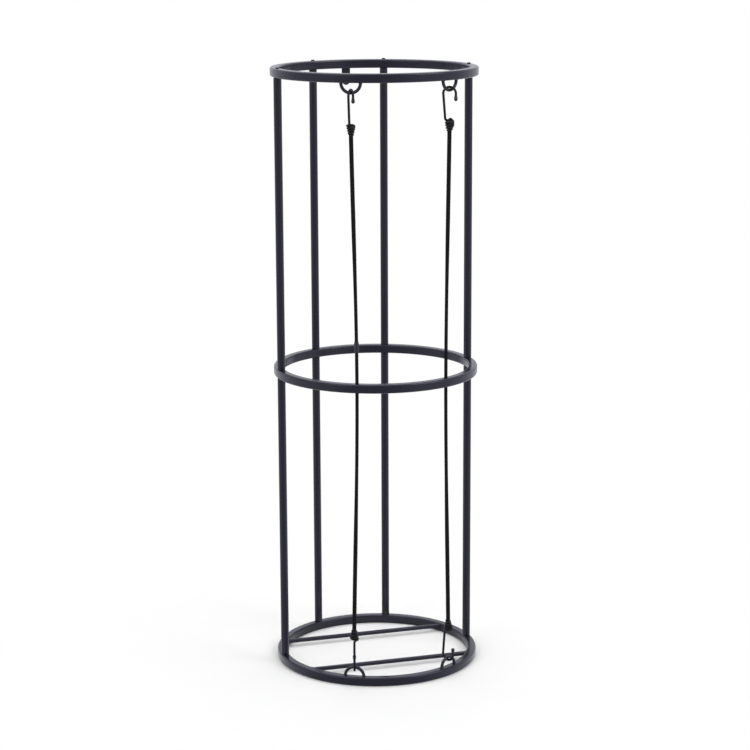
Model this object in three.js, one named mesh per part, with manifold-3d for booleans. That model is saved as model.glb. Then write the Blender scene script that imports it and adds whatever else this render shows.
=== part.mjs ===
// A free-standing upright ball rack: three equal rings of square steel tube, held one above
// the other by round posts at the sides and the back. Two rods across the bottom ring carry
// the lowest ball, and two elastic cords, hooked to wire loops, close the front.
//
// Millimetres, +Z up, front towards -Y, origin on the floor at the middle of the rings.
// Angles round the rings are in degrees from the front, positive towards +X.

import * as THREE from 'three';
import { mergeVertices } from 'three/addons/utils/BufferGeometryUtils.js';
import Module from 'manifold-3d';

const wasm = await Module();
wasm.setup();

// Rings
const ringDiameter = 325; // over the outside
const ringTube = 14; // the square tube, across its flats
const ringWall = 1.2;
const ringCorner = 3; // outside corner of the tube
const ringSpacing = 472; // from the middle of one ring to the middle of the next
const sidePostAngle = 90;
const backPostAngle = 157.5;

// Posts
const postDiameter = 12;
const postWall = 1;
const insertLength = 12; // threaded insert in each post end

// Screws and studs
const screwDiameter = 4;
const screwGrip = 9.5; // how far a screw or a stud reaches into a post
const domeHeadDiameter = 7.6;
const domeHeadHeight = 2.4;
const socketDiameter = 2.6;
const socketDepth = 1.2;
const sunkHeadDiameter = 7.6;
const sunkHeadHeight = 1.8;

// Two rods across the bottom ring, under the lowest ball
const rodDiameter = 6.5;
const rodSpacing = 144; // between their middles
const rodRise = 1.8; // above the middle of the ring's tube

// Tongue at the back of the top ring, for a screw in the wall
const tabWidth = 14;
const tabLength = 27;
const tabThickness = 2;
const tabHoleDiameter = 5;

// Elastic cords and the holes that they pass through in the middle ring
const cordDiameter = 4.8;
const cordAngle = 30;
const cordHoleAngle = 27.5;
const cordHoleClearance = 0.8;
const sleeveDiameter = 6.4;
const sleeveLength = 17.5;
const sleeveRise = 57; // middle of the sleeve above the middle ring

// Wire loops on the rings, and the wire hooks on the cord ends
const loopWireDiameter = 4.2;
const loopRadius = 15; // middle of the wire
const wireDiameter = 3; // of the hooks
const archRadius = 9.8;
const freeEndLength = 20; // from the top of the arch to the tip
const tipDiameter = 4.2;
const tipLength = 7;
const coilStart = 50.5; // from the top of the arch to the coil's first turn
const coilDiameter = 15; // over the first turn
const coilPitch = 4.4;
const coilTurns = 3.5;
const bendRadius = 4; // where the leg turns into the coil
const knotHeadDiameter = 10; // the cord end's dome, outside the coil
const knotRise = 3; // height of that dome
const knotTail = 1; // the cord end below the coil

// How far each hook is turned on its cord; at zero the free end points away from the rack
const hookTurns = { top_left: 180, top_right: -27, bottom_left: 194, bottom_right: 4 };

// Clearances
const seatGap = 0.2; // between faces that bear on each other or are welded
const fitGap = 0.3; // round what passes through or into another piece
const cutOverrun = 2; // how far a cutter runs past what it cuts

// Counts of the flats and steps that curves are made of
const ringSteps = 48;
const postSides = 16;
const screwSides = 10;
const wireSides = 6;
const cordSides = 8;
const knotSides = 12;
const loopSteps = 12;
const archSteps = 8;
const bendSteps = 4;
const turnSteps = 20;
const domeSteps = 3;
const cordStepsPerSpan = 8;
const tabCurveSteps = 8;
const halvings = 20; // when a place on a curve is sought

// Shares
const tipRoundingShare = 0.45; // of the tip's radius, its end face
const domeShoulderShare = 0.75; // of the knot's radius, where its dome turns over

// What follows from the sizes above
const ringRadius = (ringDiameter - ringTube) / 2;
const ringInnerRadius = ringDiameter / 2 - ringTube;
const ringHeights = {
  bottom: ringTube / 2,
  middle: ringTube / 2 + ringSpacing,
  top: ringTube / 2 + 2 * ringSpacing,
};
const postLength = ringSpacing - ringTube - 2 * seatGap;
const postBore = postDiameter - 2 * postWall;
const screwHole = screwDiameter + 2 * fitGap;
const cordHole = cordDiameter + 2 * cordHoleClearance;
const wireRadius = wireDiameter / 2;
const loopInnerRise = loopRadius - loopWireDiameter / 2; // from the ring's face to the loop's inside
const hookRise = loopInnerRise - wireRadius - fitGap; // from the ring's face to the top of the arch
const coilWideRadius = coilDiameter / 2 - wireRadius;
const coilNarrowRadius = cordDiameter / 2 + fitGap + wireRadius;
const coilEnd = coilStart + coilPitch * coilTurns;
const knotEnd = coilEnd + wireRadius + knotTail;
const cordEndRise = hookRise + knotEnd + fitGap; // from the ring's face to the cord's end

const postAngles = {
  left: -sidePostAngle,
  right: sidePostAngle,
  back_left: -backPostAngle,
  back_right: backPostAngle,
};
const cordSideSigns = { left: -1, right: 1 };

// Colours and finishes
function finish(color, roughness, metalness) {
  return new THREE.MeshStandardMaterial({ color, roughness, metalness });
}

const frameCoat = finish(0x35343c, 0.42, 0.2);
const wireCoat = finish(0x1a1a1d, 0.45, 0.2);
const screwBlack = finish(0x24242a, 0.35, 0.8);
const insertBrass = finish(0xb08d4a, 0.35, 0.9);
const cordBlack = finish(0x141416, 0.9, 0);
const sleeveBlack = finish(0x2a2a2e, 0.5, 0);

const rack = new THREE.Group();

function addPiece(name, geometry, material, parent = rack) {
  const piece = new THREE.Mesh(geometry, material);
  piece.name = name;
  parent.add(piece);
  return piece;
}

function radians(degrees) {
  return THREE.MathUtils.degToRad(degrees);
}

// A point at this radius and angle from the front
function around(radius, angle, height) {
  return new THREE.Vector3(
    radius * Math.sin(radians(angle)),
    -radius * Math.cos(radians(angle)),
    height,
  );
}

// A group on a ring's middle line, its +X away from the rack and its +Z up
function stationAt(angle, height) {
  const station = new THREE.Group();
  station.position.copy(around(ringRadius, angle, height));
  station.rotation.z = radians(angle - 90);
  rack.add(station);
  return station;
}

// A body turned round the Z axis, from pairs of radius and height
function turned(outline, sides) {
  const points = outline.map(([radius, height]) => new THREE.Vector2(radius, height));
  return new THREE.LatheGeometry(points, sides).rotateX(Math.PI / 2);
}

// A pipe standing on the plane z = 0
function pipe(outer, inner, length, sides) {
  const outline = [
    [inner / 2, 0],
    [outer / 2, 0],
    [outer / 2, length],
    [inner / 2, length],
    [inner / 2, 0],
  ];
  return turned(outline, sides);
}

// A rod standing on the plane z = 0
function rod(diameter, length, sides) {
  const outline = [[0, 0], [diameter / 2, 0], [diameter / 2, length], [0, length]];
  return turned(outline, sides);
}

// Triangles of a closed geometry that shares its corners, facing outwards
function closedMesh(geometry) {
  const plain = geometry.clone();
  plain.deleteAttribute('normal');
  plain.deleteAttribute('uv');
  const shared = mergeVertices(plain);
  const corners = shared.getAttribute('position').array;
  const index = shared.getIndex().array;
  const triangles = [];
  let volume = 0;
  const a = new THREE.Vector3();
  const b = new THREE.Vector3();
  const c = new THREE.Vector3();
  for (let i = 0; i < index.length; i += 3) {
    const [p, q, r] = [index[i], index[i + 1], index[i + 2]];
    if (p !== q && q !== r && r !== p) {
      triangles.push([p, q, r]);
      a.fromArray(corners, 3 * p);
      b.fromArray(corners, 3 * q);
      c.fromArray(corners, 3 * r);
      volume += a.dot(b.cross(c));
    }
  }
  const outward = volume > 0 ? triangles : triangles.map(([p, q, r]) => [p, r, q]);
  return { corners: Float32Array.from(corners), triangles: Uint32Array.from(outward.flat()) };
}

function solidOf(geometry) {
  const { corners, triangles } = closedMesh(geometry);
  const mesh = new wasm.Mesh({ numProp: 3, vertProperties: corners, triVerts: triangles });
  return new wasm.Manifold(mesh);
}

function geometryFrom(corners, triangles) {
  const geometry = new THREE.BufferGeometry();
  geometry.setAttribute('position', new THREE.BufferAttribute(corners, 3));
  geometry.setIndex(new THREE.BufferAttribute(triangles, 1));
  geometry.computeVertexNormals();
  return geometry;
}

function geometryOf(solid) {
  const mesh = solid.getMesh();
  return geometryFrom(Float32Array.from(mesh.vertProperties), Uint32Array.from(mesh.triVerts));
}

function tidied(geometry) {
  const { corners, triangles } = closedMesh(geometry);
  return geometryFrom(corners, triangles);
}

// Least distance between the surfaces of a wire's turns, measured on its points
function leastGap(points, diameter) {
  const apart = Math.PI * diameter;
  const travelled = [0];
  points.slice(1).forEach((point, i) => {
    travelled.push(travelled[i] + point.distanceTo(points[i]));
  });
  let least = Infinity;
  points.forEach((point, i) => {
    for (let k = i + 1; k < points.length; k += 1) {
      if (travelled[k] - travelled[i] > apart) {
        least = Math.min(least, point.distanceTo(points[k]) - diameter);
      }
    }
  });
  return least;
}

// A round wire through the points, with its radius at each and flat ends, as one closed mesh
function wireAlong(points, radii, sides) {
  const last = points.length - 1;
  const corners = [];
  const triangles = [];
  let across = new THREE.Vector3(0, 1, 0);
  points.forEach((point, i) => {
    const along = points[Math.min(i + 1, last)].clone().sub(points[Math.max(i - 1, 0)]).normalize();
    across = across.clone().addScaledVector(along, -across.dot(along)).normalize();
    const aside = along.clone().cross(across);
    for (let k = 0; k < sides; k += 1) {
      const turn = (2 * Math.PI * k) / sides;
      const corner = point.clone();
      corner.addScaledVector(across, radii[i] * Math.cos(turn));
      corner.addScaledVector(aside, radii[i] * Math.sin(turn));
      corners.push(...corner.toArray());
    }
  });
  for (let i = 0; i < last; i += 1) {
    for (let k = 0; k < sides; k += 1) {
      const here = i * sides + k;
      const next = i * sides + ((k + 1) % sides);
      triangles.push(here, next, next + sides);
      triangles.push(here, next + sides, here + sides);
    }
  }
  for (let k = 1; k < sides - 1; k += 1) {
    triangles.push(0, k + 1, k);
    triangles.push(last * sides, last * sides + k, last * sides + k + 1);
  }
  return geometryFrom(Float32Array.from(corners), Uint32Array.from(triangles));
}

// Rings

// The ring's solid for a tube this wide across its flats
function ringSolid(across, corner) {
  const half = across / 2;
  const flat = half - corner;
  const section = [
    [half, -flat],
    [half, flat],
    [flat, half],
    [-flat, half],
    [-half, flat],
    [-half, -flat],
    [-flat, -half],
    [flat, -half],
    [half, -flat],
  ];
  return solidOf(turned(section.map(([out, up]) => [ringRadius + out, up]), ringSteps));
}

function drill(diameter, angle) {
  const length = ringTube + 2 * cutOverrun;
  const bit = rod(diameter, length, screwSides);
  const foot = around(ringRadius, angle, -length / 2);
  return solidOf(bit.translate(foot.x, foot.y, foot.z));
}

// The countersink for a flush head under the bottom ring
function countersink(angle) {
  const outline = [
    [0, -cutOverrun],
    [sunkHeadDiameter / 2 + fitGap, -cutOverrun],
    [sunkHeadDiameter / 2 + fitGap, 0],
    [screwDiameter / 2 + fitGap, sunkHeadHeight],
    [0, sunkHeadHeight],
  ];
  const foot = around(ringRadius, angle, -ringTube / 2);
  return solidOf(turned(outline, screwSides).translate(foot.x, foot.y, foot.z));
}

function hollowRing() {
  let ring = ringSolid(ringTube, ringCorner);
  ring = ring.subtract(ringSolid(ringTube - 2 * ringWall, ringCorner - ringWall));
  Object.values(postAngles).forEach((angle) => {
    ring = ring.subtract(drill(screwHole, angle));
  });
  return ring;
}

function addRings() {
  let bottom = hollowRing();
  Object.values(postAngles).forEach((angle) => {
    bottom = bottom.subtract(countersink(angle));
  });
  let middle = hollowRing();
  Object.values(cordSideSigns).forEach((sign) => {
    middle = middle.subtract(drill(cordHole, sign * cordHoleAngle));
  });
  const solids = { bottom, middle, top: hollowRing() };
  Object.entries(solids).forEach(([level, solid]) => {
    const ring = addPiece(`${level}_ring`, geometryOf(solid), frameCoat);
    ring.position.z = ringHeights[level];
  });
}

// Posts, with a threaded insert in each end

function addPost(name, angle, ringHeight) {
  const foot = ringHeight + ringTube / 2 + seatGap;
  const station = stationAt(angle, foot);
  addPiece(name, tidied(pipe(postDiameter, postBore, postLength, postSides)), frameCoat, station);
  const outer = postBore - 2 * fitGap;
  const insert = tidied(pipe(outer, screwHole, insertLength, screwSides));
  addPiece(`${name}_foot_insert`, insert, insertBrass, station);
  const head = addPiece(`${name}_head_insert`, insert, insertBrass, station);
  head.position.z = postLength - insertLength;
}

function addPosts() {
  Object.entries(postAngles).forEach(([place, angle]) => {
    addPost(`lower_post_${place}`, angle, ringHeights.bottom);
    addPost(`upper_post_${place}`, angle, ringHeights.middle);
  });
}

// Screws through the top and bottom rings, and studs through the middle one

function domeScrew() {
  const shank = screwDiameter / 2;
  const length = ringTube + 2 * seatGap + screwGrip;
  const rim = domeHeadDiameter / 2;
  const outline = [[0, -length], [shank, -length], [shank, 0], [rim, 0]];
  const socket = socketDiameter / 2;
  const mouth = Math.asin(socket / rim);
  for (let i = 1; i <= domeSteps; i += 1) {
    const turn = ((Math.PI / 2 - mouth) * i) / domeSteps;
    outline.push([rim * Math.cos(turn), domeHeadHeight * Math.sin(turn)]);
  }
  outline.push([socket, domeHeadHeight - socketDepth], [0, domeHeadHeight - socketDepth]);
  return tidied(turned(outline, screwSides));
}

function sunkScrew() {
  const shank = screwDiameter / 2;
  const length = ringTube + seatGap + screwGrip;
  const socket = socketDiameter / 2;
  const outline = [
    [0, socketDepth],
    [socket, socketDepth],
    [socket, seatGap],
    [sunkHeadDiameter / 2, seatGap],
    [shank, sunkHeadHeight + seatGap],
    [shank, length],
    [0, length],
  ];
  return tidied(turned(outline, screwSides));
}

function addScrews() {
  const studLength = ringTube + 2 * (seatGap + screwGrip);
  const stud = tidied(rod(screwDiameter, studLength, screwSides));
  Object.entries(postAngles).forEach(([place, angle]) => {
    const top = stationAt(angle, ringHeights.top + ringTube / 2 + seatGap);
    addPiece(`top_screw_${place}`, domeScrew(), screwBlack, top);
    const middle = stationAt(angle, ringHeights.middle - studLength / 2);
    addPiece(`joining_stud_${place}`, stud, screwBlack, middle);
    const bottom = stationAt(angle, ringHeights.bottom - ringTube / 2);
    addPiece(`bottom_screw_${place}`, sunkScrew(), screwBlack, bottom);
  });
}

// Rods under the lowest ball, cut to the ring's inner wall

function addRods() {
  const length = 2 * ringInnerRadius;
  const span = rod(2 * (ringInnerRadius - seatGap), ringTube, ringSteps);
  const inside = solidOf(span.translate(0, 0, -ringTube / 2));
  const places = { front: -rodSpacing / 2, back: rodSpacing / 2 };
  Object.entries(places).forEach(([place, y]) => {
    const bar = rod(rodDiameter, length, postSides);
    bar.translate(0, 0, -length / 2).rotateY(Math.PI / 2).translate(0, y, rodRise);
    const cut = solidOf(bar).intersect(inside);
    const piece = addPiece(`support_rod_${place}`, geometryOf(cut), frameCoat);
    piece.position.z = ringHeights.bottom;
  });
}

// Wall tongue, flush with the edge of the flat under the top ring

function addWallTab() {
  const half = tabWidth / 2;
  const outline = new THREE.Shape();
  outline.moveTo(half, 0);
  outline.lineTo(-half, 0);
  outline.lineTo(-half, half - tabLength);
  outline.absarc(0, half - tabLength, half, Math.PI, 2 * Math.PI, false);
  outline.closePath();
  const hole = new THREE.Path();
  hole.absarc(0, half - tabLength, tabHoleDiameter / 2, 0, 2 * Math.PI, true);
  outline.holes.push(hole);
  const sheet = new THREE.ExtrudeGeometry(outline, {
    depth: tabThickness,
    bevelEnabled: false,
    curveSegments: tabCurveSteps,
  });
  const piece = addPiece('wall_tab', tidied(sheet.rotateX(Math.PI / 2)), frameCoat);
  const rear = ringRadius + ringTube / 2 - ringCorner;
  piece.position.set(0, rear, ringHeights.top - ringTube / 2 - seatGap);
}

// Wire loops

class LoopPath extends THREE.Curve {
  getPoint(t) {
    const foot = Math.asin(seatGap / loopRadius);
    const turn = foot + (Math.PI - 2 * foot) * t;
    return new THREE.Vector3(0, loopRadius * Math.cos(turn), loopRadius * Math.sin(turn));
  }
}

function roundSection(radius, sides) {
  const corners = Array.from({ length: sides }, (_, k) => {
    const turn = (2 * Math.PI * k) / sides;
    return new THREE.Vector2(radius * Math.cos(turn), radius * Math.sin(turn));
  });
  return new THREE.Shape(corners);
}

// Where a loop stands on its ring: the group's +Z runs from the ring along the cord
function loopStation(level, angle) {
  const facing = level === 'top' ? -1 : 1;
  const station = stationAt(angle, ringHeights[level] + (facing * ringTube) / 2);
  const frame = new THREE.Group();
  frame.rotation.x = level === 'top' ? Math.PI : 0;
  station.add(frame);
  return frame;
}

function addLoop(name, frame) {
  const wire = new THREE.ExtrudeGeometry(roundSection(loopWireDiameter / 2, wireSides), {
    steps: loopSteps,
    extrudePath: new LoopPath(),
  });
  addPiece(`cord_loop_${name}`, tidied(wire), frameCoat, frame);
}

// Wire hooks: free end, arch, leg and a conical coil, from the top of the arch along +Z

function hookWire() {
  const points = [];
  const radii = [];
  const add = (x, y, z, radius = wireRadius) => {
    points.push(new THREE.Vector3(x, y, z));
    radii.push(radius);
  };
  const tip = tipDiameter / 2;
  add(archRadius, 0, freeEndLength, tip * tipRoundingShare);
  add(archRadius, 0, freeEndLength - tip / 2, tip);
  add(archRadius, 0, freeEndLength - tipLength + tip, tip);
  add(archRadius, 0, freeEndLength - tipLength);
  for (let i = 0; i <= archSteps; i += 1) {
    const turn = (Math.PI * i) / archSteps;
    add(archRadius * Math.cos(turn), 0, archRadius * (1 - Math.sin(turn)));
  }
  const start = Math.PI + Math.atan2(bendRadius, coilWideRadius);
  const first = new THREE.Vector2(Math.cos(start), Math.sin(start)).multiplyScalar(coilWideRadius);
  const heading = new THREE.Vector2(-Math.sin(start), Math.cos(start));
  for (let i = 0; i < bendSteps; i += 1) {
    const turn = (Math.PI / 2) * (i / bendSteps);
    const back = bendRadius * Math.cos(turn);
    const rise = bendRadius * (1 - Math.sin(turn));
    add(first.x - heading.x * back, first.y - heading.y * back, coilStart - rise);
  }
  const steps = Math.round(coilTurns * turnSteps);
  for (let i = 0; i <= steps; i += 1) {
    const share = i / steps;
    const turn = start + 2 * Math.PI * coilTurns * share;
    const radius = THREE.MathUtils.lerp(coilWideRadius, coilNarrowRadius, share);
    const height = THREE.MathUtils.lerp(coilStart, coilEnd, share);
    add(radius * Math.cos(turn), radius * Math.sin(turn), height);
  }
  return { points, radii };
}

// The cord's flared end: a dome outside the coil, and a tapered neck inside it
function cordKnot() {
  const narrow = cordDiameter / 2;
  const wide = coilWideRadius - wireRadius - fitGap;
  const rim = knotHeadDiameter / 2;
  const neck = coilStart - wireRadius;
  const brim = neck - 2 * fitGap;
  const outline = [
    [0, brim - knotRise],
    [rim * domeShoulderShare, brim - knotRise * domeShoulderShare],
    [rim, brim],
    [wide, neck],
    [wide, coilStart],
    [narrow, coilEnd],
    [narrow, knotEnd],
    [0, knotEnd],
  ];
  return tidied(turned(outline, knotSides));
}

function addHook(name, frame) {
  const holder = new THREE.Group();
  holder.position.z = hookRise;
  holder.rotation.z = radians(hookTurns[name]);
  frame.add(holder);
  const { points, radii } = hookWire();
  addPiece(`cord_hook_${name}`, tidied(wireAlong(points, radii, wireSides)), wireCoat, holder);
  addPiece(`cord_knot_${name}`, cordKnot(), cordBlack, holder);
}

function addLoopsAndHooks() {
  ['top', 'bottom'].forEach((level) => {
    Object.entries(cordSideSigns).forEach(([side, sign]) => {
      const frame = loopStation(level, sign * cordAngle);
      addLoop(`${level}_${side}`, frame);
      addHook(`${level}_${side}`, frame);
    });
  });
  const gap = leastGap(hookWire().points, wireDiameter);
  console.log(`least gap between a hook wire's turns: ${gap.toFixed(2)} mm`);
}

// Elastic cords, from hook to hook through the middle ring

function cordPath(sign) {
  const low = ringHeights.bottom + ringTube / 2 + cordEndRise;
  const high = ringHeights.top - ringTube / 2 - cordEndRise;
  const hole = ringHeights.middle;
  return new THREE.CatmullRomCurve3([
    around(ringRadius, sign * cordAngle, low),
    around(ringRadius, sign * cordHoleAngle, hole - ringTube / 2),
    around(ringRadius, sign * cordHoleAngle, hole + ringTube / 2),
    around(ringRadius, sign * cordAngle, high),
  ]);
}

function addCords() {
  Object.entries(cordSideSigns).forEach(([side, sign]) => {
    const cord = new THREE.ExtrudeGeometry(roundSection(cordDiameter / 2, cordSides), {
      steps: 2 * cordStepsPerSpan,
      extrudePath: cordPath(sign),
    });
    addPiece(`elastic_cord_${side}`, tidied(cord), cordBlack);
  });
}

// The share of a rising curve's length at which it reaches this height
function shareAt(path, height) {
  let low = 0;
  let high = 1;
  for (let i = 0; i < halvings; i += 1) {
    const middle = (low + high) / 2;
    if (path.getPointAt(middle).z < height) {
      low = middle;
    } else {
      high = middle;
    }
  }
  return low;
}

// A sleeve crimped round the left cord, above the middle ring
function addSleeve() {
  const path = cordPath(cordSideSigns.left);
  const share = shareAt(path, ringHeights.middle + ringTube / 2 + sleeveRise);
  const tube = pipe(sleeveDiameter, cordDiameter + 2 * fitGap, sleeveLength, knotSides);
  const piece = addPiece('cord_sleeve', tidied(tube.translate(0, 0, -sleeveLength / 2)), sleeveBlack);
  piece.position.copy(path.getPointAt(share));
  piece.quaternion.setFromUnitVectors(new THREE.Vector3(0, 0, 1), path.getTangentAt(share));
}

addRings();
addPosts();
addScrews();
addRods();
addWallTab();
addLoopsAndHooks();
addCords();
addSleeve();

export default rack;
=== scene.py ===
"""Upright ball rack: equal rings of square tube, one above the other, on round posts at the sides and
the back. Two rods across the bottom ring carry the lowest ball, and two elastic cords, hooked to wire
loops, close the front.

Metres, +Z up, front towards -Y. Angles round the rack are in radians from the front, positive
towards +X."""

import functools
import math

import bmesh
import bpy
from bpy.props import FloatProperty, FloatVectorProperty, IntProperty, PointerProperty
from bpy.types import Operator, Panel, PropertyGroup
from mathutils import Matrix, Vector, noise


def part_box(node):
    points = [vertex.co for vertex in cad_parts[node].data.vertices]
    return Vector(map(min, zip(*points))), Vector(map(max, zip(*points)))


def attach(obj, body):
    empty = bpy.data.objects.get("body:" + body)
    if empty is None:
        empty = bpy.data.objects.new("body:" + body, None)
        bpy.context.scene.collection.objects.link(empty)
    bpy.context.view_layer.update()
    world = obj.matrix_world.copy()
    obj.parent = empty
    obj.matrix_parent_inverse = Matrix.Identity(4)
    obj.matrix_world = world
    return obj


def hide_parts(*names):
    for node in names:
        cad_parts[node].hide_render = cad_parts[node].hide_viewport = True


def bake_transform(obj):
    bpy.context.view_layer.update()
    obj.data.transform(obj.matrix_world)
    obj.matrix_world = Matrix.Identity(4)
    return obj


bl_info = {
    "name": "Upright Ball Rack",
    "version": (1, 0, 0),
    "blender": (4, 5, 0),
    "location": "3D View > Sidebar > Ball Rack",
    "description": "Builds the looks of an upright ball rack around its packed model",
    "category": "Object",
}

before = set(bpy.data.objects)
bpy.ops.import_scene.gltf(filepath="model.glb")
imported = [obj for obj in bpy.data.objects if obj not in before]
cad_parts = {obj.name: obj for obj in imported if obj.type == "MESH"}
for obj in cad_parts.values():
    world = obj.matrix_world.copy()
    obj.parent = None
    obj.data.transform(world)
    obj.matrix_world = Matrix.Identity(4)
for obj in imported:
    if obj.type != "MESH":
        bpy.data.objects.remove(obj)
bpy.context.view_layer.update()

MM = 0.001
DEGREE = math.radians(1)
FULL_TURN = 2 * math.pi
QUARTER_TURN = math.pi / 2

LEVELS = ("bottom", "middle", "top")
POST_PLACES = ("left", "right", "back_left", "back_right")
HOOK_PLACES = ("top_left", "top_right", "bottom_left", "bottom_right")
CORD_SIDES = ("left", "right")

FINE_ROUND = 48  # steps round posts, rods and screws
PLAIN_ROUND = 32  # steps round studs, the sleeve, the loops' feet and the cutters
SEAM = 0.005 * MM  # corners nearer than this are one
TUBE_SEAM = 0.002 * MM  # the same on tubes, whose ends can come to a point
START_ACROSS = Vector((0.31, 0.93, 0.2))  # where the seam of a tube starts


def box_size(node):
    low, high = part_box(node)
    return high - low


def box_centre(node):
    low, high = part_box(node)
    return (low + high) / 2


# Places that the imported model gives
RING_DIAMETER = box_size("top_ring").x
RING_TUBE = box_size("top_ring").z
RING_RADIUS = (RING_DIAMETER - RING_TUBE) / 2
RING_HEIGHTS = {level: box_centre(f"{level}_ring").z for level in LEVELS}


# Sizes and colours that a user would change


def length(label, description, millimetres):
    return FloatProperty(
        name=label, description=description, default=millimetres * MM, min=0.0, unit="LENGTH", precision=5
    )


def count(label, description, default):
    return IntProperty(name=label, description=description, default=default, min=3)


def turn(label, description, degrees):
    return FloatProperty(
        name=label, description=description, default=math.radians(degrees), subtype="ANGLE"
    )


def number(label, description, default):
    return FloatProperty(name=label, description=description, default=default, min=0.0)


def colour(label, description, default):
    return FloatVectorProperty(
        name=label, description=description, default=default, size=3, min=0.0, max=1.0, subtype="COLOR"
    )


def each_hook(label, description, values, scale=1.0, unit="NONE"):
    """One value for each hook, in the order of HOOK_PLACES. scale brings them to metres or radians."""
    defaults = [value * scale for value in values]
    return FloatVectorProperty(
        name=label, description=description, default=defaults, size=len(HOOK_PLACES), unit=unit
    )


class RackFrameSizes(PropertyGroup):
    """Sizes of the welded frame."""

    ring_wall: length("Ring wall", "Wall of the rings' square tube", 1.2)
    ring_corner: length("Ring corner", "Outside corner radius of the rings' square tube", 3)
    ring_steps: count("Ring steps", "Steps round a ring", 192)
    cord_hole: length("Cord hole", "Diameter of the cord holes in the middle ring", 6.4)
    cord_hole_angle: turn("Cord hole angle", "From the front to each cord hole", 27.5)
    screw_hole: length("Screw hole", "Diameter of the screw holes in the rings", 4.6)
    post_diameter: length("Post", "Diameter of the round posts, with their coat", 12.6)
    post_bore: length("Post bore", "Bore of the round posts", 10)
    post_edge: length("Post edge", "Chamfer on the posts' ends", 0.3)
    rod_diameter: length("Rod", "Diameter of the rods under the lowest ball", 7.2)
    rod_weld: length("Rod weld", "Radius of the weld beads at the rods", 0.975)
    tab_hole: length("Tab hole", "Diameter of the wall tab's screw hole", 5)
    tab_edge: length("Tab edge", "Rounding of the wall tab's edges", 0.45)
    tab_weld: length("Tab weld", "Radius of the weld beads at the wall tab", 0.91)
    loop_wire: length("Loop wire", "Diameter of the loops' wire", 5)
    loop_radius: length("Loop radius", "Radius of a wire loop, to the middle of its wire", 15)
    loop_weld: length("Loop weld", "Radius of the weld beads at the wire loops", 0.9)


class RackScrewSizes(PropertyGroup):
    """Sizes of the screws and studs."""

    shank: length("Shank", "Diameter of the screws' thread", 4)
    thread_pitch: length("Pitch", "Pitch of the thread", 0.7)
    thread_depth: length("Thread depth", "Depth of the thread", 0.35)
    plain_neck: length("Plain neck", "Length without a thread under the dome heads", 1)
    head: length("Head", "Diameter of the dome heads", 6.2)
    head_height: length("Head height", "Height of the dome heads", 2.1)
    head_edge: length("Head edge", "Chamfer under the dome heads", 0.15)
    rim_height: length("Rim", "Height of the dome heads' straight rim", 0.45)
    sunk_head: length("Sunk head", "Diameter of the countersunk heads", 7.6)
    sunk_height: length("Sunk height", "Height of the countersunk heads", 1.8)
    sunk_edge: length("Sunk edge", "Chamfer on the countersunk heads", 0.1)
    sunk_play: length("Sunk play", "Gap round a countersunk head in its ring", 0.3)
    socket: length("Socket", "Width of the hexagon sockets across their flats", 2.5)
    socket_depth: length("Socket depth", "Depth of the hexagon sockets", 1.2)


class RackHookSizes(PropertyGroup):
    """Sizes of the wire hooks."""

    wire: length("Wire", "Diameter of the hooks' wire", 3.8)
    gap: length("Gap", "Play between a hook and its loop", 0.3)
    arch_radius: length("Arch", "Radius of a hook's arch, to the middle of its wire", 9.8)
    free_end: length("Free end", "From the top of the arch to the tip", 21.3)
    tip: length("Tip", "Diameter of the dipped tip", 5.7)
    tip_length: length("Tip length", "Length of the dipped tip", 9)
    tip_film: length("Tip film", "Thickness of the dip where it starts", 0.12)
    coil_start: length("Coil start", "From the top of the arch to the coil's first turn", 50.5)
    coil: length("Coil", "Diameter over the coil's first turn", 15)
    coil_foot: length("Coil foot", "Diameter of the last turn, to the middle of its wire", 5)
    coil_pitch: length("Coil pitch", "Rise of the coil in each turn", 3.85)
    coil_turns: number("Coil turns", "Turns of the coil", 4.0)
    bend_radius: length("Bend", "Radius of the bend from the leg into the coil", 4)
    flare: length("Flare", "Diameter of the cord's flared end", 11.6)
    lean: length("Lean", "How far the flared end leans away from the hook's leg", 1.4)
    bulge: length("Bulge", "How far the cord's end swells between the turns of the coil", 0.7)
    reach: each_hook("Reach", "Extra length of each leg", (2.4, 0, 0, 0), MM, "LENGTH")
    stub: each_hook("Stub", "How far each cord end stands out of its coil", (0.4, 2.3, 0.4, 1), MM, "LENGTH")
    taper: each_hook("Taper", "Above 1, a coil stays wide for longer", (1.0, 1.8, 1.3, 1.1))
    swivel: each_hook("Swivel", "Turn of each hook on its cord", (187, -27, 194, 4), DEGREE, "ROTATION")


class RackCordSizes(PropertyGroup):
    """Sizes of the elastic cords."""

    cord: length("Cord", "Diameter of a cord at the middle ring", 5.4)
    cord_end: length("Cord end", "Diameter of a cord near its hooks", 6.7)
    thick_run: length("Thick run", "How far from its hooks a cord stays that thick", 120)
    thin_run: length("Thin run", "How far from its hooks a cord has thinned out", 260)
    strands: count("Strands", "Strands of the braid each way round", 8)
    strand_length: length("Strand length", "Length along the cord between two crossings", 2.2)
    strand_relief: length("Strand relief", "Height of a strand over the crossings", 0.13)
    sleeve: length("Sleeve", "Diameter of the sleeve on the left cord", 7.2)
    sleeve_length: length("Sleeve length", "Length of that sleeve", 17.5)
    sleeve_taper: length("Sleeve taper", "Length of the sleeve's rounded ends", 1.6)
    sleeve_rise: length("Sleeve rise", "Middle of the sleeve above the middle ring", 57)


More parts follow.
